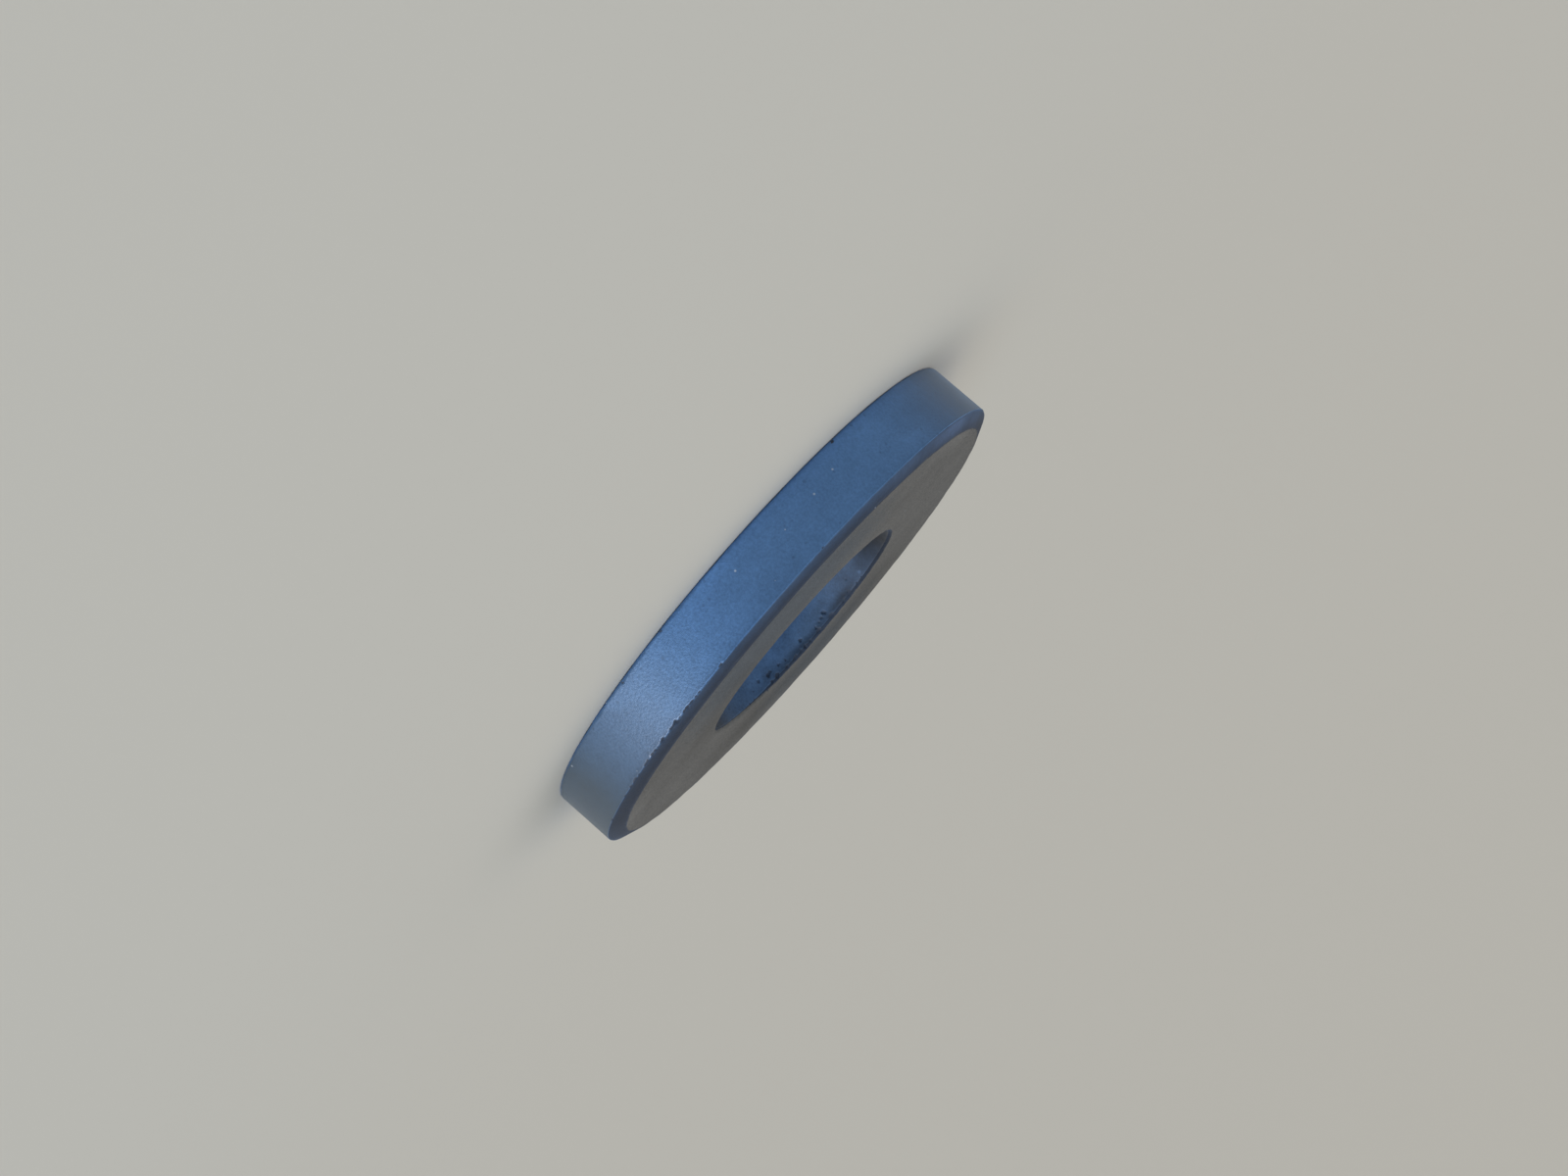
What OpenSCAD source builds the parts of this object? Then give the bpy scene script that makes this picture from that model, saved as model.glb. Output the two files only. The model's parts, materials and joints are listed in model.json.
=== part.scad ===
// Oil pan magnet: a sintered ferrite ring, one piece, lying flat on its back face.
// The ring's axis is Z, its back face is at Z = 0 and its bevelled front face is uppermost.
// Everything is in millimetres.

/* [Ring] */
// Outer diameter over the rim
outer_d = 44.5; // [38:0.5:90]
// Diameter of the bore that drops over the pan's locating boss
bore_d = 20.6; // [6:0.2:24]
// Thickness from the back face to the front face
thickness = 5.6; // [4:0.1:20]

/* [Front bevel] */
// Width of the bevel between the rim and the front face, along the radius
bevel_w = 1.45; // [0.2:0.05:3]
// Height of the bevel, along the axis
bevel_h = 0.55; // [0.1:0.05:1.5]

/* [Edge breaks] */
// Break where the rim meets the back face, the same both ways
back_break = 0.15; // [0.05:0.05:0.5]
// Break at both mouths of the bore, along the radius
bore_break_w = 0.2; // [0.1:0.05:1]
// Break at both mouths of the bore, along the axis
bore_break_h = 0.25; // [0.1:0.05:1]

/* [Hidden] */
// Smoothness of the turned surfaces
$fn = 180;

outer_r = outer_d / 2;
bore_r = bore_d / 2;
// Inner and outer radius of the flat part of the faces
face_inner_r = bore_r + bore_break_w;
front_outer_r = outer_r - bevel_w;
back_outer_r = outer_r - back_break;

// Half of the ring's section: X is the radius and Y is the height above the back face.
// It runs up the rim, in over the front face, and down the bore.
ring_section = [
    [back_outer_r, 0],
    [outer_r, back_break],
    [outer_r, thickness - bevel_h],
    [front_outer_r, thickness],
    [face_inner_r, thickness],
    [bore_r, thickness - bore_break_h],
    [bore_r, bore_break_h],
    [face_inner_r, 0],
];

// The pressed and sintered ring, with both faces ground flat
module ring_magnet() {
    color("dimgray")
        rotate_extrude()
            polygon(ring_section);
}

ring_magnet();
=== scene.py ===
"""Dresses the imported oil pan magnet: a worn ferrite ring, a plain pale studio, soft light and a camera."""

import json
import math
from collections import namedtuple

import bpy
import numpy as np
from bpy.props import FloatProperty, FloatVectorProperty, IntProperty, PointerProperty
from bpy.types import Operator, Panel, PropertyGroup
from mathutils import Matrix, Vector


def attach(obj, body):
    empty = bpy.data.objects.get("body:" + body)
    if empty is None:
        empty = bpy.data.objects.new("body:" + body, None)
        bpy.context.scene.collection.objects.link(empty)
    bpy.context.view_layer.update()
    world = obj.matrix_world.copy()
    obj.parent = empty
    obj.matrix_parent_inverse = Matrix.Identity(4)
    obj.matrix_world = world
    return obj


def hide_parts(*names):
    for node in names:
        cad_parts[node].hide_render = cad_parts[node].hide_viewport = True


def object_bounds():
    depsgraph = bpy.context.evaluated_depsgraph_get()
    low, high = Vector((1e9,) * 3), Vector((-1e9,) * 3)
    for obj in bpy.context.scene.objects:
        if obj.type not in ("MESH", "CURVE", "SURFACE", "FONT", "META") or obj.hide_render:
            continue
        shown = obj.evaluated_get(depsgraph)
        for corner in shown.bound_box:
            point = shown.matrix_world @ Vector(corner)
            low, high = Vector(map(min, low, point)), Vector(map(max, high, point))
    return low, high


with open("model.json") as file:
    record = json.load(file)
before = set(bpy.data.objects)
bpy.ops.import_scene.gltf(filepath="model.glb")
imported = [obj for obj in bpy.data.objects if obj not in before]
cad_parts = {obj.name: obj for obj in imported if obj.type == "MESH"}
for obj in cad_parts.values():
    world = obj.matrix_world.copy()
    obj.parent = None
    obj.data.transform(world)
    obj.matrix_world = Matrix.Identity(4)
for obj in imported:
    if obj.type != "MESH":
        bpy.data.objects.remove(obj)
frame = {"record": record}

bl_info = {
    "name": "Oil pan magnet looks",
    "version": (1, 0, 0),
    "blender": (4, 5, 0),
    "location": "3D View > Sidebar > Magnet",
    "description": "Builds the worn ferrite ring, its finishes and a plain studio round the packed part",
    "category": "Object",
}

MM = 0.001
NODE = "ring_magnet"
CAD_LOW, CAD_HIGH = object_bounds()
BORE = next(m for m in frame["record"]["mounts"] if m["name"] == "bore")

# The collection of what the side window lights: the ring alone, so that no glow shows on the floor
WINDOW_LIT = "window_lit"

# The surfaces of the ring, in the order of its material slots
GROUND, SKIN, BEVEL, BORE_SKIN = range(4)

# A chip in an edge: where it is round the ring, in degrees from the front (-Y) towards +X, how wide it is
# before its lobes and how deep, in millimetres, and how far it leans from one side of the edge to the other
Chip = namedtuple("Chip", "angle width depth lean")

# A pit in the wall of the bore: its angle and height, its width and its depth
Pit = namedtuple("Pit", "angle height width depth")

# A soft mark: its angle, how far it is past the corner that its stretch of the section starts at,
# half its width round the ring and half its height along the section in millimetres, and its strength
Mark = namedtuple("Mark", "angle along across up amount")

# A stretch round an edge: its middle and half its width, in degrees
Ragged = namedtuple("Ragged", "middle half")

# A stretch round an edge of the ground face: its middle and half its width, in degrees, and how much
# further from that edge the ground surface ends there, in millimetres
Margin = namedtuple("Margin", "middle half width")

# A corner of the ring's section, in millimetres: its place, the surface of the stretch that
# follows it, the spacing of the points near it and how far that spacing reaches to each side
Corner = namedtuple("Corner", "name radius height surface step reach")

# The spacing of the section's points away from its corners, in millimetres: on a ground face and elsewhere
FACE_SPACING = 2.4
SIDE_SPACING = 0.7

# A distance along the section that is past every mark, in millimetres
OUT_OF_REACH = 1000.0

BEVEL_CHIPS = [
    Chip(25.4, 0.42, 0.12, 0.2),
    Chip(29.3, 0.62, 0.19, 0.3),
    Chip(31.2, 0.36, 0.10, 0.2),
    Chip(34.2, 0.46, 0.16, 0.3),
    Chip(37.3, 0.40, 0.08, 0.1),
    Chip(41.5, 0.36, 0.07, 0.0),
    Chip(46.5, 0.50, 0.08, 0.1),
    Chip(53.0, 0.42, 0.07, 0.0),
    Chip(14.6, 0.50, 0.08, 0.1),
]
BACK_CHIPS = [
    Chip(-31.4, 0.42, 0.09, 0.0),
    Chip(30.5, 0.30, 0.06, 0.3),
    Chip(17.5, 0.24, 0.05, 0.0),
]
MOUTH_CHIPS = [
    Chip(156.0, 0.55, 0.16, 0.2),
    Chip(152.0, 0.40, 0.12, 0.0),
    Chip(175.2, 0.36, 0.13, -0.6),
    Chip(184.8, 0.45, 0.11, 0.2),
    Chip(207.6, 0.60, 0.10, 0.2),
    Chip(194.0, 0.60, 0.09, 0.0),
    Chip(168.0, 0.45, 0.08, 0.0),
]
BORE_PITS = [
    Pit(147.4, 4.48, 0.34, 0.12),
    Pit(153.2, 4.70, 0.42, 0.18),
    Pit(155.2, 4.60, 0.30, 0.12),
    Pit(160.4, 4.74, 0.30, 0.10),
    Pit(164.2, 4.88, 0.24, 0.09),
    Pit(175.7, 4.70, 0.34, 0.13),
    Pit(192.4, 4.66, 0.42, 0.15),
    Pit(190.0, 4.80, 0.30, 0.10),
    Pit(184.8, 5.02, 0.26, 0.09),
    Pit(187.6, 4.90, 0.20, 0.07),
    Pit(212.0, 4.40, 0.20, 0.06),
    Pit(141.5, 4.80, 0.18, 0.06),
]

# Soft marks that are lighter (above 0) or darker (below 0), for each stretch that has some. Many are painted
# highlight, reflection and shade, as said for each stretch; the rest are random differences of tone
MARKS_AND_PAINTED_LIGHT = {
    # On the rim: the lighter and darker patches from 24 to 41 degrees are painted highlight with some
    # mottling, the lift at -79 degrees is painted reflection at the rim's grazing end, the lift all round
    # next to the back face, which rests on the floor, is painted light against the floor's shade, and the
    # darker patches at 4 and 66 degrees are painted shade
    "back_rim": [
        Mark(3.4, 0.20, 1.2, 0.30, 0.26),
        Mark(36.0, 0.50, 0.7, 0.30, 0.24),
        Mark(34.0, 4.90, 8.5, 0.32, -0.30),
        Mark(12.0, 4.90, 4.6, 0.30, -0.20),
        Mark(-25.0, 4.92, 13.0, 0.12, -0.14),
        Mark(-3.0, 4.30, 3.6, 0.80, -0.16),
        Mark(-45.0, 4.80, 7.0, 0.70, -0.10),
        Mark(-62.0, 2.50, 4.0, 6.00, -0.10),
        Mark(-79.0, 2.50, 4.0, 6.00, 0.40),
        Mark(32.3, 2.90, 0.6, 0.50, 0.10),
        Mark(27.5, 4.10, 0.8, 0.50, 0.12),
        Mark(34.0, 0.70, 0.5, 0.35, 0.12),
        Mark(41.4, 3.20, 0.7, 0.50, 0.06),
        Mark(36.0, 1.70, 0.8, 0.50, -0.06),
        Mark(24.0, 2.40, 0.7, 0.80, -0.07),
        Mark(4.0, 2.30, 4.5, 2.60, -0.09),
        Mark(0.0, 0.70, 60.0, 1.30, 0.09),
        Mark(36.0, 2.45, 6.0, 1.30, 0.07),
        Mark(66.0, 2.40, 4.5, 8.00, -0.12),
        Mark(-24.0, 2.05, 2.4, 1.60, -0.05),
        Mark(-38.0, 1.15, 1.8, 0.90, 0.08),
        Mark(-46.0, 3.90, 1.8, 0.60, 0.10),
        Mark(-53.0, 2.60, 1.6, 1.10, -0.06),
        Mark(-62.0, 4.15, 1.2, 0.60, 0.06),
        Mark(96.0, 2.45, 2.2, 1.20, -0.12),
        Mark(118.0, 1.05, 1.8, 0.60, 0.16),
        Mark(151.0, 3.15, 2.8, 1.00, -0.10),
        Mark(176.0, 1.85, 2.0, 1.40, 0.08),
        Mark(203.0, 3.95, 1.9, 0.60, -0.14),
        Mark(229.0, 2.55, 2.6, 1.50, 0.08),
        Mark(262.0, 1.35, 2.0, 0.90, -0.12),
        Mark(285.0, 3.45, 1.4, 0.70, 0.12),
    ],
    # On the bevel: the strong lifts from -77 to -40 degrees are a painted reflection; the stretch from 8 to
    # 68 degrees is darker
    "rim_bevel": [
        Mark(-60.0, 0.60, 3.4, 0.70, 2.85),
        Mark(-77.0, 0.85, 2.6, 0.75, 0.85),
        Mark(-40.0, 0.80, 5.0, 0.70, 0.70),
        Mark(8.0, 0.12, 3.4, 0.26, -0.20),
        Mark(20.0, 0.90, 5.0, 0.90, -0.16),
        Mark(46.0, 0.80, 6.4, 1.00, -0.34),
        Mark(68.0, 0.80, 5.0, 1.00, -0.28),
        Mark(140.0, 0.80, 5.0, 0.90, 0.25),
        Mark(250.0, 0.80, 6.0, 0.90, -0.20),
    ],
    # On the ground face: painted shade that darkens it round its near and far sides, about 0 and 180
    # degrees, and painted light near its outer edge at 74 and -68 degrees
    "bevel_face": [
        Mark(8.0, 4.0, 11.0, 5.6, -0.08),
        Mark(30.0, 8.6, 6.0, 2.6, -0.20),
        Mark(182.0, 4.6, 8.5, 4.8, -0.32),
        Mark(152.0, 4.6, 4.0, 4.8, -0.12),
        Mark(74.0, 0.9, 4.0, 1.4, 0.30),
        Mark(-68.0, 0.9, 5.0, 1.4, 0.34),
        Mark(-34.0, 5.0, 4.0, 3.0, -0.05),
        Mark(140.0, 5.0, 4.0, 3.0, -0.08),
        Mark(34.0, 0.8, 8.0, 1.4, -0.07),
        Mark(62.0, 9.0, 4.0, 3.0, -0.20),
        Mark(137.0, 5.0, 5.0, 4.0, -0.18),
        Mark(210.0, 5.0, 4.0, 4.0, -0.16),
        Mark(-17.0, 5.0, 4.0, 3.0, 0.08),
    ],
    # At the break of the bore's mouth: painted light at 118 degrees and painted shade at 236 and 252
    # degrees, at the two tips of the bore
    "mouth_face": [
        Mark(118.0, 0.15, 5.0, 1.00, 0.30),
        Mark(236.0, 0.15, 3.6, 1.00, -0.30),
        Mark(252.0, 0.15, 3.0, 1.00, -0.30),
    ],
    # In the bore: the darker marks from 226 to 250 degrees are painted shade and the lighter one at 116
    # degrees is painted light; the dark band along the mouth from 153 to 206 degrees is darker
    "mouth_wall": [
        Mark(160.0, 0.05, 2.2, 0.42, -0.46),
        Mark(183.0, 0.10, 2.8, 0.46, -0.60),
        Mark(206.0, 0.15, 1.8, 0.46, -0.38),
        Mark(206.0, 1.20, 2.6, 1.80, -0.34),
        Mark(190.0, 1.10, 1.1, 0.50, -0.28),
        Mark(172.0, 0.40, 1.3, 0.40, -0.22),
        Mark(200.0, 0.40, 1.4, 0.40, -0.14),
        Mark(153.5, 0.75, 0.7, 0.35, -0.40),
        Mark(146.0, 1.15, 1.6, 0.60, 0.30),
        Mark(160.0, 1.75, 1.4, 0.60, 0.16),
        Mark(220.0, 0.42, 0.16, 0.14, 0.55),
        Mark(236.0, 1.35, 1.4, 0.40, -0.25),
        Mark(250.0, 0.90, 1.8, 0.50, -0.15),
        Mark(226.0, 0.60, 2.0, 1.60, -0.40),
        Mark(244.0, 0.60, 2.6, 2.40, -0.48),
        Mark(116.0, 1.20, 3.0, 3.00, 0.40),
        Mark(60.0, 2.60, 5.0, 1.50, -0.15),
        Mark(345.0, 2.40, 6.0, 1.40, 0.12),
    ],
}

# Where a layer lies over the surface: on the rim, dust and painted reflection and shade that grey and dull
# its ends and its highlight; in the bore, some grime and painted shade and reflection at its two tips; on
# the ground face, painted shade that darkens its near and far sides
FILMS_AND_PAINTED_LIGHT = {
    "back_rim": [
        Mark(29.0, 2.40, 5.4, 12.0, 0.22),
        Mark(59.0, 2.40, 9.4, 12.0, 0.88),
        Mark(80.0, 2.40, 6.5, 12.0, 0.50),
        Mark(100.0, 2.40, 9.0, 12.0, 0.30),
        Mark(-73.0, 2.40, 6.2, 12.0, 0.74),
        Mark(150.0, 2.40, 9.0, 6.0, 0.40),
        Mark(215.0, 2.40, 7.0, 6.0, 0.50),
    ],
    "bevel_face": [
        Mark(2.0, 4.2, 14.0, 7.5, 0.90),
        Mark(178.0, 4.6, 10.0, 6.5, 0.75),
    ],
    "mouth_wall": [
        Mark(100.0, 1.40, 4.6, 5.00, 1.00),
        Mark(256.0, 1.40, 4.6, 6.00, 1.10),
        Mark(20.0, 2.40, 8.0, 2.80, 0.30),
    ],
}

# Where the edges are more ragged
RAGGED_BEVEL = [Ragged(38.0, 26.0), Ragged(128.0, 22.0), Ragged(236.0, 34.0)]
RAGGED_BACK = [Ragged(128.0, 26.0), Ragged(215.0, 40.0)]
RAGGED_MOUTH = [Ragged(178.0, 34.0), Ragged(20.0, 30.0)]

# A chipped edge: its corner, the chips that have their own places, the stretches where it is ragged, how
# many places are tried for small chips, and the greatest width and depth of those in millimetres
ChippedEdge = namedtuple("ChippedEdge", "corner placed ragged tries width depth")
CHIPPED_EDGES = [
    ChippedEdge("rim_bevel", BEVEL_CHIPS, RAGGED_BEVEL, 170, 0.52, 0.08),
    ChippedEdge("back_rim", BACK_CHIPS, RAGGED_BACK, 160, 0.36, 0.07),
    ChippedEdge("mouth_wall", MOUTH_CHIPS, RAGGED_MOUTH, 130, 0.34, 0.08),
    ChippedEdge("mouth_face", [], RAGGED_MOUTH, 60, 0.26, 0.05),
    ChippedEdge("back_mouth_wall", [], RAGGED_MOUTH, 60, 0.30, 0.06),
]

# Small chips: their sizes as shares of the greatest, their greatest lean either way, and the chance that a
# place has one where its edge is not ragged
SMALL_CHIP_SIZES = (0.35, 1.0)
SMALL_CHIP_LEAN = 0.3
SMOOTH_EDGE_CHANCE = 0.02

# The lobes of a chip's outline: how many there are and how far they stand out, as a share of its size
CHIP_LOBES = ((2, 0.20), (3, 0.14), (5, 0.08))

# How fresh the grain looks in a chip and in a pit, from 0 to 1, once it is this many millimetres deep
CHIP_FRESHNESS = 0.75
PIT_FRESHNESS = 0.55
FRESH_DEPTH = 0.02

# How the wear of the edges wanders round the ring: its waves, their strength and the least wear, both as
# shares of the mean
WEAR_WAVES = (23, 41, 67, 113, 199, 331)
WEAR_WANDER = 0.4
LEAST_WEAR = 0.25
WEAR_SEED = 7

# The rim's skin on the bevel: how far it runs in from their edge, how strong the trace of it beyond is and
# how far that runs, in millimetres, and how much of it all is gone in the middle of a stretch that lost it
SKIN_RUN = 0.26
SKIN_TRACE = 0.34
SKIN_TRACE_RUN = 1.1
SKIN_LOSS = 0.95
SKIN_LOST = [Ragged(66.0, 32.0), Ragged(-58.0, 16.0), Ragged(128.0, 20.0), Ragged(236.0, 30.0)]

# How far short of the bevel the ground face stops all round, in millimetres, and where it stops further
# short still
FACE_MARGIN = 0.05
FACE_MARGINS = [Margin(12.0, 42.0, 0.26), Margin(165.0, 44.0, 0.42)]

# Where it runs on over the break at the mouth of the bore
MOUTH_MARGINS = [Margin(118.0, 28.0, 0.40)]

# The finish of the ferrite: its refractive index, how deep its grain is, how far its roughness varies
# either way with the grain, and how rough it is at least where a chip or a speck of dust is
FERRITE_IOR = 1.6
GRAIN_DEPTH = 0.03 * MM
ROUGHNESS_SPREAD = 0.06
WORN_ROUGHNESS = 0.8

# How much of the colour under them pores and specks of dust cover, from 0 to 1
PORE_COVER = 0.25
DUST_COVER = 0.7

# The floor: its outer radius in metres, how steeply it curves up, how many rings of points rise past its
# flat part and how many steps go round. The ring within the flat part and the first that rises are placed
# as shares of the flat radius
FLOOR_RADIUS = 1.3
FLOOR_STEEPNESS = 0.42
FLOOR_RINGS = 44
FLOOR_STEPS = 128
FLOOR_INNER = 0.3
FLOOR_RISE_START = 1.15

# A soft light aimed at the ring: its azimuth in degrees from -Y towards +X, its elevation, its distance and
# size in metres, its power in watts and its colour
Softbox = namedtuple("Softbox", "name azimuth elevation distance size power color")
FRONT_PANEL = Softbox("front_panel", 32, 14, 0.60, (0.36, 0.24), 0.94, (0.45, 0.745, 1.0))
SIDE_WINDOW = Softbox("side_window", 64, 9, 0.45, (0.12, 0.09), 1.86, (1.0, 0.83, 0.68))

# The colour of the even light from all round
AMBIENT_COLOR = (1.0, 0.985, 0.95, 1.0)

# The camera's sensor, and how far below the middle of the ring the point is that the camera goes round
SENSOR_WIDTH = 36.0
PIVOT_DROP = 0.25 * MM


class RingShape(PropertyGroup):
    """Sizes of the ring's edges and how finely it is meshed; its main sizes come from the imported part."""

    bevel_width: FloatProperty(
        name="Bevel width",
        description="Width of the front bevel along the radius",
        default=1.45 * MM,
        unit="LENGTH",
    )
    bevel_height: FloatProperty(
        name="Bevel height",
        description="Height of the front bevel along the axis",
        default=0.55 * MM,
        unit="LENGTH",
    )
    back_break: FloatProperty(
        name="Back break",
        description="Break where the rim meets the back face",
        default=0.15 * MM,
        unit="LENGTH",
    )
    mouth_width: FloatProperty(
        name="Mouth break width",
        description="Break at the mouths of the bore, along the radius",
        default=0.2 * MM,
        unit="LENGTH",
    )
    mouth_height: FloatProperty(
        name="Mouth break height",
        description="Break at the mouths of the bore, along the axis",
        default=0.25 * MM,
        unit="LENGTH",
    )
    edge_round: FloatProperty(
        name="Edge wear",
        description="How far every edge is worn back",
        default=0.025 * MM,
        unit="LENGTH",
    )
    segments: IntProperty(
        name="Segments",
        description="Steps round the ring",
        default=1000,
        min=90,
    )


class RingColors(PropertyGroup):
    """Colours of the ferrite's surfaces. The blue of the rim and the bore is partly a painted reflection of
    blue sky.
    """

    ground_color: FloatVectorProperty(
        name="Ground faces",
        description="Colour of the flat faces, ground after firing",
        default=(0.100, 0.103, 0.106),
        subtype="COLOR",
    )
    # Its blue is partly a painted reflection of blue sky; the fired ferrite is dark grey with a bluish sheen
    skin_and_painted_sky_color: FloatVectorProperty(
        name="Fired rim",
        description="Colour of the rim, as it left the kiln",
        default=(0.097, 0.219, 0.472),
        subtype="COLOR",
    )
    # Its blue is partly a painted reflection of blue sky, as on the rim
    bore_and_painted_sky_color: FloatVectorProperty(
        name="Fired bore",
        description="Colour of the wall of the bore, as it left the kiln",
        default=(0.067, 0.142, 0.292),
        subtype="COLOR",
    )
    bevel_color: FloatVectorProperty(
        name="Bevel",
        description="Colour of the pressed bevel and the broken edges",
        default=(0.0205, 0.036, 0.071),
        subtype="COLOR",
    )
    fracture_color: FloatVectorProperty(
        name="Chips and pores",
        description="Colour of the grain where a chip has broken away",
        default=(0.027, 0.043, 0.078),
        subtype="COLOR",
    )
    # Dust on the rim, and painted reflection and shade that grey its ends and dull its highlight
    rim_dust_and_painted_light_color: FloatVectorProperty(
        name="Dust film",
        description="Colour of the film of dust that dulls the rim in places",
        default=(0.035, 0.068, 0.116),
        subtype="COLOR",
    )
    # Some grime, and painted shade and reflection that grey and darken the two tips of the bore
    grime_and_painted_shade_color: FloatVectorProperty(
        name="Grime",
        description="Colour of the grime in the bore",
        default=(0.050, 0.060, 0.076),
        subtype="COLOR",
    )
    # Painted shade: darkens the ground face round its near and far sides
    face_painted_shade_color: FloatVectorProperty(
        name="Oil film",
        description="Colour of the ground faces where a film of oil darkens them",
        default=(0.067, 0.083, 0.105),
        subtype="COLOR",
    )
    dust_color: FloatVectorProperty(
        name="Dust",
        description="Colour of the dust specks",
        default=(0.42, 0.50, 0.62),
        subtype="COLOR",
    )


class StudioSettings(PropertyGroup):
    """The floor, the light and the camera."""

    floor_color: FloatVectorProperty(
        name="Floor",
        description="Colour of the floor",
        default=(0.655, 0.645, 0.61),
        subtype="COLOR",
    )
    flat_radius: FloatProperty(
        name="Flat radius",
        description="How far the floor is flat before it curves up",
        default=0.07,
        unit="LENGTH",
    )
    ambient: FloatProperty(
        name="Ambient light",
        description="Strength of the even light from all round",
        default=0.75,
    )
    lens: FloatProperty(
        name="Lens",
        description="Focal length in millimetres for a sensor 36 mm wide",
        default=58.5,
    )
    camera_distance: FloatProperty(
        name="Camera distance",
        description="From the camera to the point that it goes round, close to the middle of the ring",
        default=200.7 * MM,
        unit="LENGTH",
    )
    camera_elevation: FloatProperty(
        name="Camera elevation",
        description="Height of the camera above the plane of the ring",
        default=math.radians(7.035),
        subtype="ANGLE",
    )
    camera_roll: FloatProperty(
        name="Camera roll",
        description="Turn of the camera about its own line of sight",
        default=math.radians(130.94),
        subtype="ANGLE",
    )
    camera_aim: FloatVectorProperty(
        name="Camera aim",
        description="Where the line of sight crosses the plane through the ring's axis",
        default=(-1.531 * MM, 0.0, 2.117 * MM),
        subtype="TRANSLATION",
        unit="LENGTH",
    )


# ---------------------------------------------------------------- the ring's mesh


def section_corners(shape):
    """The corners of the ring's section: out along the back, up the rim, in and down the bore."""
    outer = CAD_HIGH.x / MM
    thick = CAD_HIGH.z / MM
    bore = BORE["dims"]["r_mm"]
    bevel_w = shape.bevel_width / MM
    bevel_h = shape.bevel_height / MM
    mouth_w = shape.mouth_width / MM
    mouth_h = shape.mouth_height / MM
    back = shape.back_break / MM
    return [
        Corner("back_mouth_face", bore + mouth_w, 0.0, GROUND, 0.08, 0.16),
        Corner("back_face", outer - back, 0.0, SKIN, 0.07, 0.21),
        Corner("back_rim", outer, back, SKIN, 0.07, 0.28),
        Corner("rim_bevel", outer, thick - bevel_h, BEVEL, 0.055, 0.385),
        Corner("bevel_face", outer - bevel_w, thick, GROUND, 0.08, 0.56),
        Corner("mouth_face", bore + mouth_w, thick, BEVEL, 0.06, 0.24),
        Corner("mouth_wall", bore, thick - mouth_h, BORE_SKIN, 0.065, 1.17),
        Corner("back_mouth_wall", bore, mouth_h, BEVEL, 0.08, 0.16),
    ]


def graded(length, start, end, coarse):
    """Distances along a stretch, close together within reach of each end and wide apart between."""
    first = min(start.reach, length / 2)
    last = min(end.reach, length - first)
    near = np.linspace(0, first, max(1, round(first / start.step)) + 1)
    far = length - np.linspace(0, last, max(1, round(last / end.step)) + 1)
    between = length - first - last
    steps = max(1, round(between / coarse)) if between > start.step else 1
    middle = np.linspace(first, length - last, steps + 1)
    return np.unique(np.concatenate([near, middle, far]).round(6))[:-1]


class Section:
    """Points round the ring's section, each with the stretch that it is on and how far along it is."""

    def __init__(self, corners):
        self.corners = corners
        points, stretch, along, lengths = [], [], [], []
        for i, start in enumerate(corners):
            a, b = self.place(i), self.place(i + 1)
            length = np.linalg.norm(b - a)
            coarse = FACE_SPACING if start.surface == GROUND else SIDE_SPACING
            steps = graded(length, start, corners[(i + 1) % len(corners)], coarse)
            points += [a + (b - a) * d / length for d in steps]
            stretch += [i] * len(steps)
            along += steps.tolist()
            lengths.append(length)
        self.points = np.array(points)
        self.stretch = np.array(stretch)
        self.along = np.array(along)
        self.lengths = lengths
        self.surfaces = [corners[i].surface for i in stretch]

    def place(self, i):
        """A corner's radius and height."""
        corner = self.corners[i % len(self.corners)]
        return np.array([corner.radius, corner.height])

    def outward(self, i):
        """The direction straight out of a corner, halfway between its two sides."""
        sides = [self.place(n) - self.place(i) for n in (i - 1, i + 1)]
        out = -sum(side / np.linalg.norm(side) for side in sides)
        return out / np.linalg.norm(out)

    def past(self, i):
        """How far each point is past a corner: below 0 before it, and out of reach on other stretches."""
        i %= len(self.corners)
        distance = np.full(len(self.points), OUT_OF_REACH)
        after = self.stretch == i
        before = self.stretch == (i - 1) % len(self.corners)
        distance[after] = self.along[after]
        distance[before] = self.along[before] - self.lengths[i - 1]
        return distance


def turn(a):
    """Angles in degrees brought into -180 to 180."""
    return (np.asarray(a) + 180.0) % 360.0 - 180.0


def ripple(angles, rng, waves, roughness=0.7):
    """A closed random curve round the ring, of mean 0 and spread 1, from the given wave counts."""
    total = np.zeros_like(angles)
    for count in waves:
        weight = (waves[0] / count) ** roughness
        total += weight * np.cos(np.radians(count * angles) + rng.uniform(0, 2 * math.pi))
    return total / total.std()


def raggedness(angles, ragged):
    """How ragged an edge is at each angle, from 0 to 1."""
    spans = [np.exp(-((turn(np.asarray(angles) - r.middle) / r.half) ** 2)) for r in ragged]
    return np.max(spans, axis=0) if spans else np.zeros_like(angles)


def wear_back(points, section, i, depth):
    """Cuts a corner back by depth at each angle, square to the line halfway between its sides."""
    out = section.outward(i)
    proud = (points - section.place(i)) @ out + depth[:, None]
    points -= np.clip(proud, 0, None)[:, :, None] * out


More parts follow.
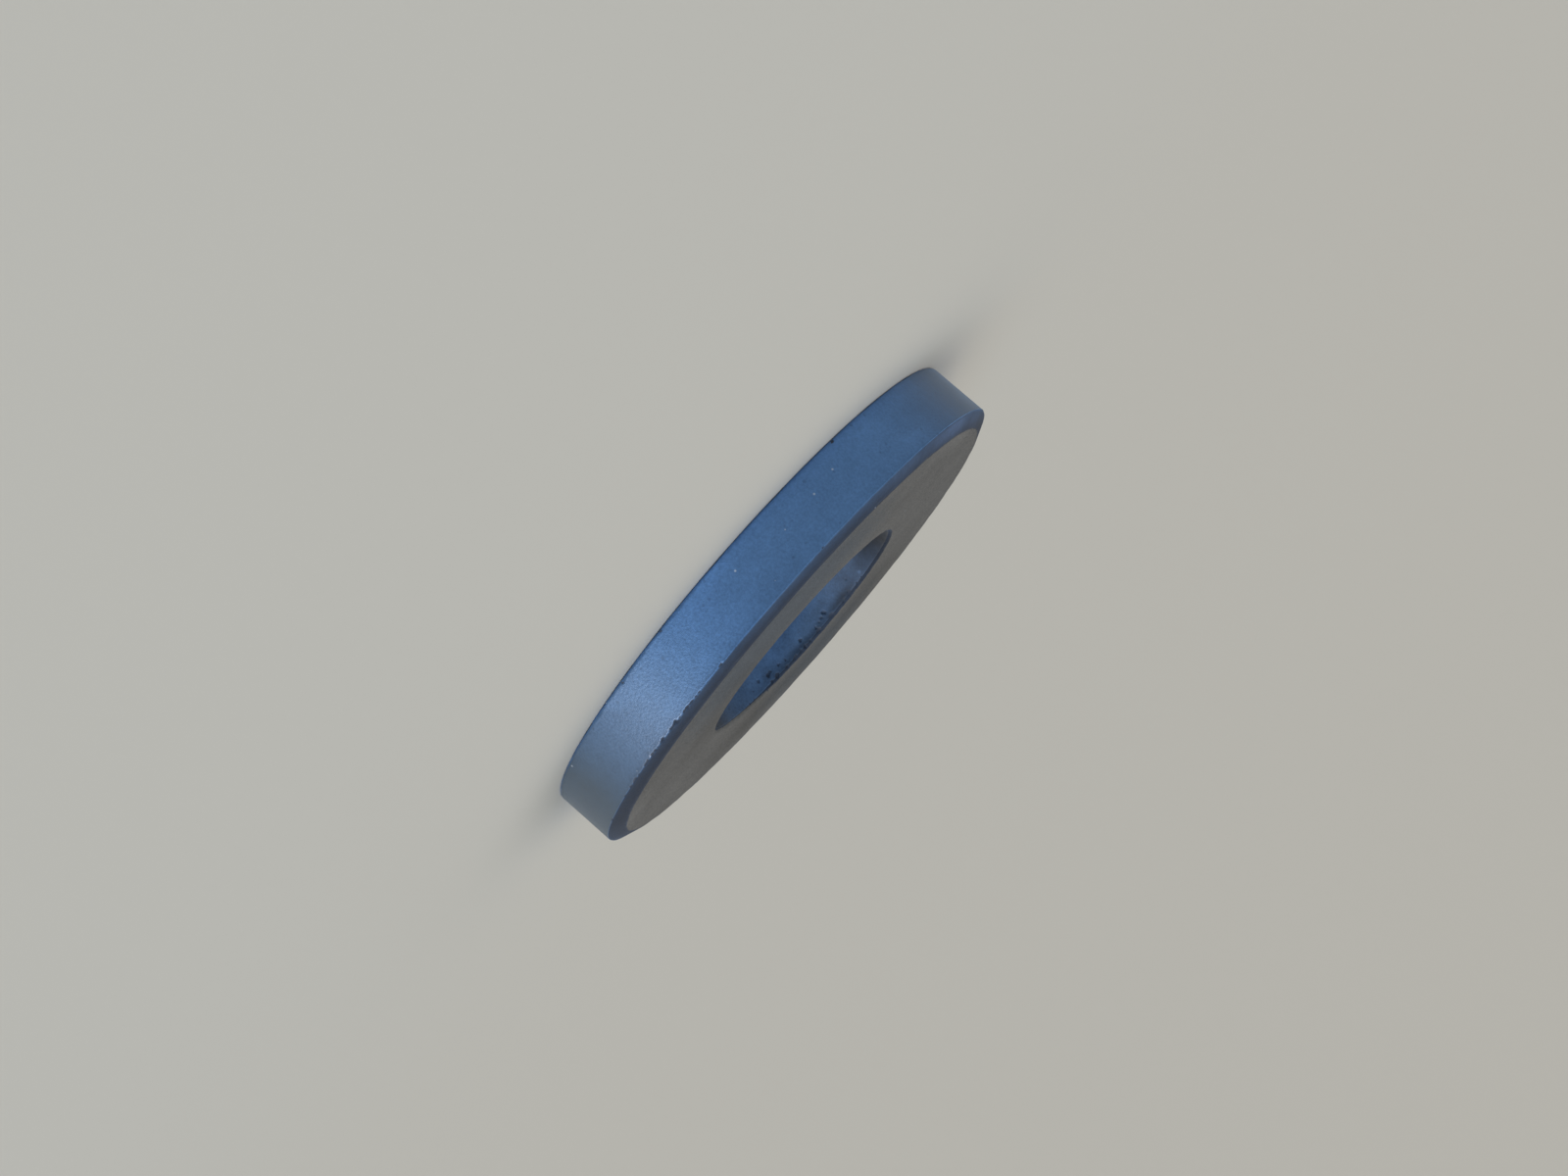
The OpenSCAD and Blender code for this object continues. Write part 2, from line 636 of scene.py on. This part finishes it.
def scoop(points, angles, angle, place, out, width, depth, rng):
    """Takes a shell-shaped hollow out of the surface. Returns the rows in reach and how far they moved."""
    step = 360.0 / len(angles)
    reach = int(math.degrees(width / place[0]) / step) + 2
    rows = np.arange(reach * 2 + 1) - reach + round(angle / step)
    rows %= len(angles)
    arc = np.radians(turn(angles[rows] - angle))[:, None] * place[0]
    offset = points[rows] - place
    proud = offset @ out
    across = offset @ np.array([-out[1], out[0]])
    bearing = np.arctan2(across, arc)
    phases = rng.uniform(0, 2 * math.pi, len(CHIP_LOBES))
    lobes = 1 + sum(size * np.cos(n * bearing + p) for (n, size), p in zip(CHIP_LOBES, phases))
    away = np.hypot(arc, across) / lobes
    ball = (width**2 / 4 + depth**2) / (2 * depth)
    floor = ball - depth - np.sqrt(np.clip(ball**2 - away**2, 0, None))
    moved = np.where(away < ball, np.clip(proud - floor, 0, None), 0)
    points[rows] -= moved[:, :, None] * out
    return rows, moved


def small_chips(rng, edge):
    """Small chips all round an edge, closer together where it is ragged."""
    chips = []
    for _ in range(edge.tries):
        angle = rng.uniform(0, 360)
        chance = rng.uniform(0.0, 1.0)
        size = rng.uniform(*SMALL_CHIP_SIZES)
        lean = rng.uniform(-SMALL_CHIP_LEAN, SMALL_CHIP_LEAN)
        if chance < SMOOTH_EDGE_CHANCE + (1 - SMOOTH_EDGE_CHANCE) * raggedness([angle], edge.ragged)[0]:
            chips.append(Chip(angle, edge.width * size, edge.depth * size, lean))
    return chips


class RingSurface:
    """The worn surface of the ring: its points at every angle, and what each is like."""

    def __init__(self, shape):
        self.section = Section(section_corners(shape))
        self.names = [c.name for c in self.section.corners]
        self.angles = np.arange(shape.segments) * 360.0 / shape.segments
        self.points = np.repeat(self.section.points[None], shape.segments, axis=0)
        self.worn = np.zeros(self.points.shape[:2])
        self.rng = np.random.default_rng(WEAR_SEED)
        self.edge_wear = shape.edge_round / MM

    def wear_edges(self):
        """Rounds every edge a little, by an amount that wanders."""
        for i in range(len(self.names)):
            wander = 1 + WEAR_WANDER * ripple(self.angles, self.rng, WEAR_WAVES)
            wear_back(self.points, self.section, i, self.edge_wear * np.clip(wander, LEAST_WEAR, None))

    def chip_edge(self, name, chips):
        """Takes chips out of one edge."""
        i = self.names.index(name)
        out = self.section.outward(i)
        along = np.array([-out[1], out[0]])
        place = self.section.place(i) - out * self.edge_wear
        for chip in chips:
            leaning = out + chip.lean * along
            leaning /= np.linalg.norm(leaning)
            self.take(chip.angle, place, leaning, chip.width, chip.depth, CHIP_FRESHNESS)

    def pit_bore(self, pits):
        """Takes pits out of the wall of the bore."""
        radius = BORE["dims"]["r_mm"]
        for pit in pits:
            place = np.array([radius, pit.height])
            self.take(pit.angle, place, np.array([-1.0, 0.0]), pit.width, pit.depth, PIT_FRESHNESS)

    def take(self, angle, place, out, width, depth, fresh):
        """Takes one hollow out of the surface, and marks how fresh the grain in it looks, from 0 to 1."""
        rows, moved = scoop(self.points, self.angles, angle, place, out, width, depth, self.rng)
        self.worn[rows] = np.maximum(self.worn[rows], fresh * np.clip(moved / FRESH_DEPTH, 0, 1))

    def ground(self):
        """Which points are on the ground faces: 1 on them, 0 off them, and between close to their edges."""
        on = np.array([1.0 if s == GROUND else 0.0 for s in self.section.surfaces])
        value = np.tile(on, (len(self.angles), 1))
        margin = FACE_MARGIN + sum(m.width * raggedness(self.angles, [m]) for m in FACE_MARGINS)
        over = sum(m.width * raggedness(self.angles, [m]) for m in MOUTH_MARGINS)
        # Each edge's corner, 1 if the face lies after it and -1 if before, how far in from it the ground
        # surface ends, and half the width over which it fades
        edges = (
            ("bevel_face", 1, margin[:, None], 0.16),
            ("back_face", -1, 0.0, 0.10),
            ("mouth_face", -1, -over[:, None], 0.14),
            ("back_mouth_face", 1, 0.0, 0.14),
        )
        for name, side, inset, fade in edges:
            past = self.section.past(self.names.index(name)) * side - inset
            faded = np.clip(0.5 + past / (2 * fade), 0, 1)
            value = np.where(np.abs(past) < np.abs(inset) + fade, faded, value)
        return value

    def skinned(self):
        """How much of the rim's skin is left on the bevel: most along their edge, and a trace beyond."""
        past = self.section.past(self.names.index("rim_bevel"))
        trace = SKIN_TRACE * (1 - past / SKIN_TRACE_RUN)
        fade = np.clip(np.maximum(1 - past / SKIN_RUN, trace), 0, 1)
        left = 1 - SKIN_LOSS * raggedness(self.angles, SKIN_LOST)
        return np.where(past >= 0, fade, 0)[None, :] * left[:, None]

    def marked(self, marks):
        """The strengths of soft marks at every point, added up."""
        total = np.zeros(self.worn.shape)
        for name, stretch_marks in marks.items():
            i = self.names.index(name)
            on = np.flatnonzero(self.section.stretch == i)
            radii = self.section.points[on, 0]
            for mark in stretch_marks:
                arc = np.radians(turn(self.angles - mark.angle))[:, None] * radii / mark.across
                off = (self.section.along[on] - mark.along) / mark.up
                total[:, on] += mark.amount * np.exp(-(arc**2) - off**2)
        return total

    def positions(self):
        """The points in space, in metres."""
        turned = np.radians(self.angles)[:, None]
        r = self.points[:, :, 0]
        z = np.clip(self.points[:, :, 1], 0, CAD_HIGH.z / MM)
        return np.stack([r * np.sin(turned), -r * np.cos(turned), z], axis=-1) * MM


def worn_ring(shape):
    """The ring's surface with all its wear."""
    ring = RingSurface(shape)
    ring.wear_edges()
    for edge in CHIPPED_EDGES:
        ring.chip_edge(edge.corner, edge.placed + small_chips(ring.rng, edge))
    ring.pit_bore(BORE_PITS)
    return ring


def add_ring_object(shape):
    """Makes the ring's object, with the attributes that its finishes read."""
    surface = worn_ring(shape)
    xyz = surface.positions()
    count, around = xyz.shape[:2]
    i = np.arange(count)[:, None]
    j = np.arange(around)[None, :]
    next_i, next_j = (i + 1) % count, (j + 1) % around
    corners = (i * around + j, next_i * around + j, next_i * around + next_j, i * around + next_j)
    quads = np.stack(np.broadcast_arrays(*corners), axis=-1).reshape(-1, 4)
    mesh = bpy.data.meshes.new("ferrite_ring")
    mesh.from_pydata(xyz.reshape(-1, 3).tolist(), [], quads.tolist())
    mesh.polygons.foreach_set("material_index", np.tile(surface.section.surfaces, count).astype(np.int32))
    mesh.polygons.foreach_set("use_smooth", np.ones(len(quads), bool))
    marks = {
        "worn": surface.worn,
        "ground": surface.ground(),
        "skinned": surface.skinned(),
        # Marks of random tone, with painted highlight, reflection and shade
        "smudge": 1 + surface.marked(MARKS_AND_PAINTED_LIGHT),
        "film": surface.marked(FILMS_AND_PAINTED_LIGHT),
    }
    for name, values in marks.items():
        layer = mesh.attributes.new(name, "FLOAT", "POINT")
        layer.data.foreach_set("value", values.reshape(-1).astype(np.float32))
    mesh.update()
    ring = bpy.data.objects.new("ferrite_ring", mesh)
    bpy.context.scene.collection.objects.link(ring)
    return ring


# ---------------------------------------------------------------- finishes


def new_node(tree, kind, settings=None, inputs=None):
    """Adds a node, with its settings and the values of its unlinked inputs."""
    node = tree.nodes.new(kind)
    for name, value in (settings or {}).items():
        setattr(node, name, value)
    for name, value in (inputs or {}).items():
        node.inputs[name].default_value = value
    return node


def new_group(name, inputs, outputs):
    """An empty shader node group with float or vector sockets, and its input and output nodes."""
    group = bpy.data.node_groups.new(name, "ShaderNodeTree")
    for label, kind, value in inputs:
        socket = group.interface.new_socket(label, in_out="INPUT", socket_type=kind)
        if value is not None:
            socket.default_value = value
    for label, kind in outputs:
        group.interface.new_socket(label, in_out="OUTPUT", socket_type=kind)
    return group, group.nodes.new("NodeGroupInput"), group.nodes.new("NodeGroupOutput")


def feed(tree, value, socket):
    """Feeds a socket: links the value to it if that is a socket too, and sets it there if not."""
    if hasattr(value, "is_output"):
        tree.links.new(value, socket)
    else:
        socket.default_value = value


def calculate(tree, operation, *values):
    """The result of one operation on sockets or plain numbers."""
    node = new_node(tree, "ShaderNodeMath", {"operation": operation})
    for value, socket in zip(values, node.inputs):
        feed(tree, value, socket)
    return node.outputs[0]


def ramp_between(tree, source, low, high, to_low=0.0, to_high=1.0):
    """A value stretched from low..high to to_low..to_high, clamped."""
    node = new_node(
        tree,
        "ShaderNodeMapRange",
        {"clamp": True},
        {"From Min": low, "From Max": high, "To Min": to_low, "To Max": to_high},
    )
    tree.links.new(source, node.inputs["Value"])
    return node.outputs["Result"]


# The sockets of a Mix node that take its factor and two colours, and the one that gives the mixed colour
MIX_FACTOR, MIX_FIRST, MIX_SECOND, MIXED = 0, 6, 7, 2


def mix_colors(tree, factor, first, second, blend="MIX"):
    """A colour mix whose factor and colours are sockets or plain values."""
    node = new_node(tree, "ShaderNodeMix", {"data_type": "RGBA", "blend_type": blend, "clamp_factor": True})
    feed(tree, factor, node.inputs[MIX_FACTOR])
    for slot, color in ((MIX_FIRST, first), (MIX_SECOND, second)):
        feed(tree, color if hasattr(color, "is_output") else (*color, 1.0), node.inputs[slot])
    return node.outputs[MIXED]


def attribute(tree, name):
    """A value that the mesh holds at its points."""
    return new_node(tree, "ShaderNodeAttribute", {"attribute_name": name}).outputs["Fac"]


def noise(tree, vector, scale, detail, roughness):
    """Noise from 0 to 1, its scale in cells to a unit of the vector."""
    values = {"Scale": scale, "Detail": detail, "Roughness": roughness}
    node = new_node(tree, "ShaderNodeTexNoise", {}, values)
    tree.links.new(vector, node.inputs["Vector"])
    return node.outputs["Fac"]


def grain_group():
    """Grain of fired ferrite at three scales: a shade round 1 for the colour and a height for the bump."""
    group, start, end = new_group(
        "ferrite_grain",
        [
            ("Vector", "NodeSocketVector", None),
            ("Contrast", "NodeSocketFloat", 0.2),
            ("Mottle", "NodeSocketFloat", 0.2),
        ],
        [("Shade", "NodeSocketFloat"), ("Height", "NodeSocketFloat")],
    )
    at, contrast, mottling = (start.outputs[name] for name in ("Vector", "Contrast", "Mottle"))
    fine = noise(group, at, scale=5200.0, detail=3.0, roughness=0.6)
    mottle = noise(group, at, scale=1100.0, detail=3.0, roughness=0.6)
    cloud = noise(group, at, scale=210.0, detail=2.0, roughness=0.5)
    shade = 1.0
    for pattern, weight in ((fine, contrast), (mottle, mottling), (cloud, mottling)):
        centred = calculate(group, "SUBTRACT", pattern, 0.5)
        shade = calculate(group, "MULTIPLY_ADD", centred, weight, shade)
    group.links.new(shade, end.inputs["Shade"])
    group.links.new(fine, end.inputs["Height"])
    return group


def specks_group():
    """Sparse specks: a mask of small spots of mixed size, some cells holding one and the rest none."""
    group, start, end = new_group(
        "sparse_specks",
        [
            ("Vector", "NodeSocketVector", None),
            ("Scale", "NodeSocketFloat", 700.0),
            ("Size", "NodeSocketFloat", 0.1),
            ("Rarity", "NodeSocketFloat", 0.6),
        ],
        [("Mask", "NodeSocketFloat")],
    )
    cells = new_node(group, "ShaderNodeTexVoronoi", {"feature": "F1"}, {"Randomness": 1.0})
    group.links.new(start.outputs["Vector"], cells.inputs["Vector"])
    group.links.new(start.outputs["Scale"], cells.inputs["Scale"])
    pick = new_node(group, "ShaderNodeSeparateColor")
    group.links.new(cells.outputs["Color"], pick.inputs[0])
    chosen = new_node(group, "ShaderNodeMapRange", {"clamp": True})
    group.links.new(pick.outputs[0], chosen.inputs["Value"])
    group.links.new(start.outputs["Rarity"], chosen.inputs["From Min"])
    reach = calculate(group, "MULTIPLY", chosen.outputs["Result"], start.outputs["Size"])
    inside = calculate(group, "SUBTRACT", reach, cells.outputs["Distance"])
    group.links.new(ramp_between(group, inside, 0.0, 0.05), end.inputs["Mask"])
    return group


def broken_edge_group():
    """A mask from a value on the mesh, with its edge broken up by grain."""
    group, start, end = new_group(
        "broken_edge",
        [
            ("Vector", "NodeSocketVector", None),
            ("Value", "NodeSocketFloat", 0.0),
            ("Raggedness", "NodeSocketFloat", 0.5),
        ],
        [("Mask", "NodeSocketFloat")],
    )
    crumbs = noise(group, start.outputs["Vector"], scale=4200.0, detail=3.0, roughness=0.65)
    centred = calculate(group, "SUBTRACT", crumbs, 0.5)
    ragged = calculate(group, "MULTIPLY_ADD", centred, start.outputs["Raggedness"], start.outputs["Value"])
    group.links.new(ramp_between(group, ragged, 0.3, 0.7), end.inputs["Mask"])
    return group


def grinding_group():
    """Fine straight marks that the grinding wheel leaves on a face: a height round 0.5."""
    group, start, end = new_group(
        "grinding_marks",
        [("Vector", "NodeSocketVector", None), ("Angle", "NodeSocketFloat", 0.6)],
        [("Height", "NodeSocketFloat")],
    )
    turned = new_node(group, "ShaderNodeVectorRotate", {"rotation_type": "Z_AXIS"})
    group.links.new(start.outputs["Vector"], turned.inputs["Vector"])
    group.links.new(start.outputs["Angle"], turned.inputs["Angle"])
    drawn = new_node(group, "ShaderNodeMapping", {}, {"Scale": (60.0, 5200.0, 60.0)})
    group.links.new(turned.outputs[0], drawn.inputs["Vector"])
    marks = noise(group, drawn.outputs[0], scale=1.0, detail=3.0, roughness=0.7)
    group.links.new(marks, end.inputs["Height"])
    return group


# A ferrite surface: its colour, or None if it is or meets a ground face and takes the colours of the bevel
# and that face, the colour of the layer over it in places (dust with painted reflection and shade on the
# rim, grime with painted shade in the bore, painted shade on the ground face), its roughness, specular level
# and metal sheen, the contrast of its fine grain and of its mottling, how strongly grain raises it, how much
# dust lies on it and whether it is a ground face
Finish = namedtuple("Finish", "name color film roughness specular sheen grain mottle bump dust ground")


class FerriteMaterials:
    """Makes the ring's materials from shared groups: grain, grinding marks, specks and broken edges."""

    def __init__(self, colors):
        self.colors = colors
        self.grain = grain_group()
        self.specks = specks_group()
        self.broken = broken_edge_group()
        self.grinding = grinding_group()

    def place_group(self, tree, group, at, **values):
        """Places a group in a material, with its own values. Returns the group's outputs."""
        node = new_node(tree, "ShaderNodeGroup", {"node_tree": group})
        tree.links.new(at, node.inputs["Vector"])
        for name, value in values.items():
            feed(tree, value, node.inputs[name])
        return node.outputs

    def broken_mask(self, tree, at, value, raggedness):
        """A value on the mesh as a mask with a broken edge."""
        return self.place_group(tree, self.broken, at, Value=value, Raggedness=raggedness)["Mask"]

    def speck_mask(self, tree, at, scale, size, rarity):
        """A mask of sparse specks, their scale in cells to the metre."""
        return self.place_group(tree, self.specks, at, Scale=scale, Size=size, Rarity=rarity)["Mask"]

    def clean_color(self, tree, at, finish, film):
        """The colour of a surface and of the layer over it in places, which carries painted light and shade,
        before any marks.
        """
        colors = self.colors
        if finish.color is not None:
            return mix_colors(tree, film, tuple(finish.color), tuple(finish.film))
        skinned = attribute(tree, "skinned")
        edge = mix_colors(tree, skinned, tuple(colors.bevel_color), tuple(colors.bore_and_painted_sky_color))
        # Where the painted shade lies on the ground face, with a broken edge
        face_shade_mask = self.broken_mask(tree, at, film, raggedness=0.9)
        face = mix_colors(tree, face_shade_mask, tuple(colors.ground_color), tuple(finish.film))
        ground = self.broken_mask(tree, at, attribute(tree, "ground"), raggedness=1.0)
        return mix_colors(tree, ground, edge, face)

    def marked_color(self, tree, at, color, shade, worn, dust):
        """A colour with its marks of tone and of painted light and shade, then grain, pores, chips and dust.
        """
        broken = tuple(self.colors.fracture_color)
        pores = self.speck_mask(tree, at, scale=1500.0, size=0.24, rarity=0.55)
        # Multiplies in the marks of random tone and of painted highlight, reflection and shade
        color = mix_colors(tree, 1.0, color, attribute(tree, "smudge"), "MULTIPLY")
        color = mix_colors(tree, 1.0, color, shade, "MULTIPLY")
        color = mix_colors(tree, calculate(tree, "MULTIPLY", pores, PORE_COVER), color, broken)
        color = mix_colors(tree, worn, color, broken)
        covered = calculate(tree, "MULTIPLY", dust, DUST_COVER)
        return mix_colors(tree, covered, color, tuple(self.colors.dust_color))

    def roughness(self, tree, finish, height, marked):
        """The roughness, which follows the grain and is greater in chips and on dust."""
        smooth, rough = finish.roughness - ROUGHNESS_SPREAD, finish.roughness + ROUGHNESS_SPREAD
        grainy = ramp_between(tree, height, 0.25, 0.75, smooth, rough)
        return calculate(tree, "MAXIMUM", grainy, calculate(tree, "MULTIPLY", marked, WORN_ROUGHNESS))

    def normal(self, tree, at, finish, height):
        """The normal over the grain and, on a ground face, over the grinding marks."""
        if finish.ground:
            height = calculate(tree, "ADD", height, self.place_group(tree, self.grinding, at)["Height"])
        bump = new_node(tree, "ShaderNodeBump", {}, {"Strength": finish.bump, "Distance": GRAIN_DEPTH})
        tree.links.new(height, bump.inputs["Height"])
        return bump.outputs["Normal"]

    def make(self, finish):
        """One material, with all that its finish says."""
        material = bpy.data.materials.new(finish.name)
        material.use_nodes = True
        tree = material.node_tree
        shader = tree.nodes["Principled BSDF"]
        at = new_node(tree, "ShaderNodeTexCoord").outputs["Object"]
        grain = self.place_group(tree, self.grain, at, Contrast=finish.grain, Mottle=finish.mottle)
        worn = self.broken_mask(tree, at, attribute(tree, "worn"), raggedness=0.6)
        dust = self.speck_mask(tree, at, scale=900.0, size=0.10, rarity=1.0 - finish.dust)
        # Where dust, grime and painted light and shade lie over the surface, and how thickly
        film = attribute(tree, "film")
        marked = calculate(tree, "MAXIMUM", worn, dust)

        color = self.clean_color(tree, at, finish, film)
        color = self.marked_color(tree, at, color, grain["Shade"], worn, dust)
        tree.links.new(color, shader.inputs["Base Color"])
        if finish.sheen:
            dull = calculate(tree, "MAXIMUM", marked, film)
            sheen = ramp_between(tree, dull, 0.0, 1.0, finish.sheen, 0.0)
            tree.links.new(sheen, shader.inputs["Metallic"])
        rough = self.roughness(tree, finish, grain["Height"], marked)
        tree.links.new(rough, shader.inputs["Roughness"])
        tree.links.new(self.normal(tree, at, finish, grain["Height"]), shader.inputs["Normal"])
        shader.inputs["Specular IOR Level"].default_value = finish.specular
        shader.inputs["IOR"].default_value = FERRITE_IOR
        return material


def ring_materials(colors):
    """The ring's surfaces, in the order of its material slots."""
    rim, film = colors.skin_and_painted_sky_color, colors.rim_dust_and_painted_light_color
    bore, grime_and_painted_shade = colors.bore_and_painted_sky_color, colors.grime_and_painted_shade_color
    # The colour of the painted shade on the ground faces
    oil = colors.face_painted_shade_color
    finishes = [
        Finish("ground_face", None, oil, 0.85, 0.25, 0.0, 2.10, 0.42, 0.55, 0.06, True),
        Finish("fired_rim", rim, film, 0.42, 0.50, 0.75, 0.62, 0.26, 0.55, 0.42, False),
        Finish("pressed_bevel", None, oil, 0.65, 0.14, 0.0, 0.80, 0.50, 0.60, 0.06, False),
        Finish("fired_bore", bore, grime_and_painted_shade, 0.60, 0.25, 0.20, 0.80, 0.60, 0.55, 0.20, False),
    ]
    maker = FerriteMaterials(colors)
    return [maker.make(finish) for finish in finishes]


# ---------------------------------------------------------------- the studio


def add_floor(settings):
    """A round floor that curves up gently all round, so that no edge shows behind the ring."""
    flat = settings.flat_radius
    rising = np.geomspace(flat * FLOOR_RISE_START, FLOOR_RADIUS, FLOOR_RINGS)
    radii = [flat * FLOOR_INNER, flat, *rising]
    turns = [(math.cos(a), math.sin(a)) for a in np.linspace(0, 2 * math.pi, FLOOR_STEPS + 1)[:-1]]
    points = [(0.0, 0.0, 0.0)]
    for r in radii:
        rise = FLOOR_STEEPNESS * max(0.0, r - flat) ** 2
        points += [(r * c, r * s, rise) for c, s in turns]
    count = len(turns)
    faces = [(0, 1 + k, 1 + (k + 1) % count) for k in range(count)]
    for ring in range(len(radii) - 1):
        base = 1 + ring * count
        for k in range(count):
            after = (k + 1) % count
            faces.append((base + k, base + count + k, base + count + after, base + after))
    mesh = bpy.data.meshes.new("studio_floor")
    mesh.from_pydata(points, [], faces)
    mesh.polygons.foreach_set("use_smooth", np.ones(len(faces), bool))
    floor = bpy.data.objects.new("studio_floor", mesh)
    bpy.context.scene.collection.objects.link(floor)
    material = bpy.data.materials.new("pale_floor")
    material.use_nodes = True
    shader = material.node_tree.nodes["Principled BSDF"]
    shader.inputs["Base Color"].default_value = (*settings.floor_color, 1.0)
    shader.inputs["Roughness"].default_value = 1.0
    shader.inputs["Specular IOR Level"].default_value = 0.0
    mesh.materials.append(material)


def add_softbox(box):
    """A soft light aimed at the ring, and hidden from the camera."""
    light = bpy.data.lights.new(box.name, "AREA")
    light.shape = "RECTANGLE"
    light.size, light.size_y = box.size
    light.energy = box.power
    light.color = box.color
    lamp = bpy.data.objects.new(box.name, light)
    a, e = math.radians(box.azimuth), math.radians(box.elevation)
    away = Vector((math.sin(a) * math.cos(e), -math.cos(a) * math.cos(e), math.sin(e)))
    lamp.location = away * box.distance
    lamp.rotation_euler = away.to_track_quat("Z", "Y").to_euler()
    lamp.visible_camera = False
    bpy.context.scene.collection.objects.link(lamp)
    return lamp


def window_lit():
    """The collection of what the side window lights."""
    return bpy.data.collections.get(WINDOW_LIT) or bpy.data.collections.new(WINDOW_LIT)


def add_ambient(settings):
    """Even light from all round."""
    world = bpy.data.worlds.new("soft_room")
    world.use_nodes = True
    background = world.node_tree.nodes["Background"]
    background.inputs["Color"].default_value = AMBIENT_COLOR
    background.inputs["Strength"].default_value = settings.ambient
    bpy.context.scene.world = world


def add_camera(settings):
    """The camera: just above the plane of the ring, and rolled so that the front face is lower right."""
    data = bpy.data.cameras.new("view")
    data.sensor_width = SENSOR_WIDTH
    data.lens = settings.lens
    data.clip_start = 0.01
    data.clip_end = 10.0
    camera = bpy.data.objects.new("view", data)
    pivot = Vector((0, 0, CAD_HIGH.z / 2 - PIVOT_DROP))
    e = settings.camera_elevation
    place = pivot + settings.camera_distance * Vector((0, -math.cos(e), math.sin(e)))
    sight = Vector(settings.camera_aim) - place
    turned = sight.to_track_quat("-Z", "Y").to_matrix() @ Matrix.Rotation(settings.camera_roll, 3, "Z")
    camera.matrix_world = Matrix.Translation(place) @ turned.to_4x4()
    bpy.context.scene.collection.objects.link(camera)
    bpy.context.scene.camera = camera


class MAGNET_OT_add_stage(Operator):
    """Add the camera, the floor and the soft light"""

    bl_idname = "magnet.add_stage"
    bl_label = "Add stage"

    def execute(self, context):
        settings = context.scene.magnet_studio
        add_camera(settings)
        add_floor(settings)
        add_ambient(settings)
        add_softbox(FRONT_PANEL)
        add_softbox(SIDE_WINDOW).light_linking.receiver_collection = window_lit()
        context.scene.view_settings.view_transform = "Standard"
        return {"FINISHED"}


class MAGNET_OT_add_ring(Operator):
    """Add the worn ferrite ring in place of the plain one"""

    bl_idname = "magnet.add_ring"
    bl_label = "Add ferrite ring"

    def execute(self, context):
        ring = add_ring_object(context.scene.magnet_shape)
        for material in ring_materials(context.scene.magnet_colors):
            ring.data.materials.append(material)
        window_lit().objects.link(ring)
        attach(ring, "root")
        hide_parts(NODE)
        return {"FINISHED"}


class MAGNET_PT_looks(Panel):
    """The steps that build the scene"""

    bl_label = "Oil pan magnet"
    bl_space_type = "VIEW_3D"
    bl_region_type = "UI"
    bl_category = "Magnet"

    def draw(self, context):
        for operator in OPERATORS:
            self.layout.operator(operator.bl_idname)
        for owner in SETTINGS:
            box = self.layout.box()
            group = getattr(context.scene, owner)
            for name in group.bl_rna.properties.keys():
                if name not in ("rna_type", "name"):
                    box.prop(group, name)


OPERATORS = (MAGNET_OT_add_stage, MAGNET_OT_add_ring)

# The scene's property that holds each group of settings
SETTINGS = {"magnet_shape": RingShape, "magnet_colors": RingColors, "magnet_studio": StudioSettings}


def register():
    """Registers the classes and gives the scene its settings."""
    for cls in (*SETTINGS.values(), *OPERATORS, MAGNET_PT_looks):
        bpy.utils.register_class(cls)
    for owner, group in SETTINGS.items():
        setattr(bpy.types.Scene, owner, PointerProperty(type=group))


def unregister():
    """Takes away what register adds."""
    for owner in SETTINGS:
        delattr(bpy.types.Scene, owner)
    for cls in reversed((*SETTINGS.values(), *OPERATORS, MAGNET_PT_looks)):
        bpy.utils.unregister_class(cls)


def main():
    """Registers the add-on and builds everything in order."""
    register()
    bpy.ops.magnet.add_stage()
    bpy.ops.magnet.add_ring()


if __name__ == "__main__":
    main()
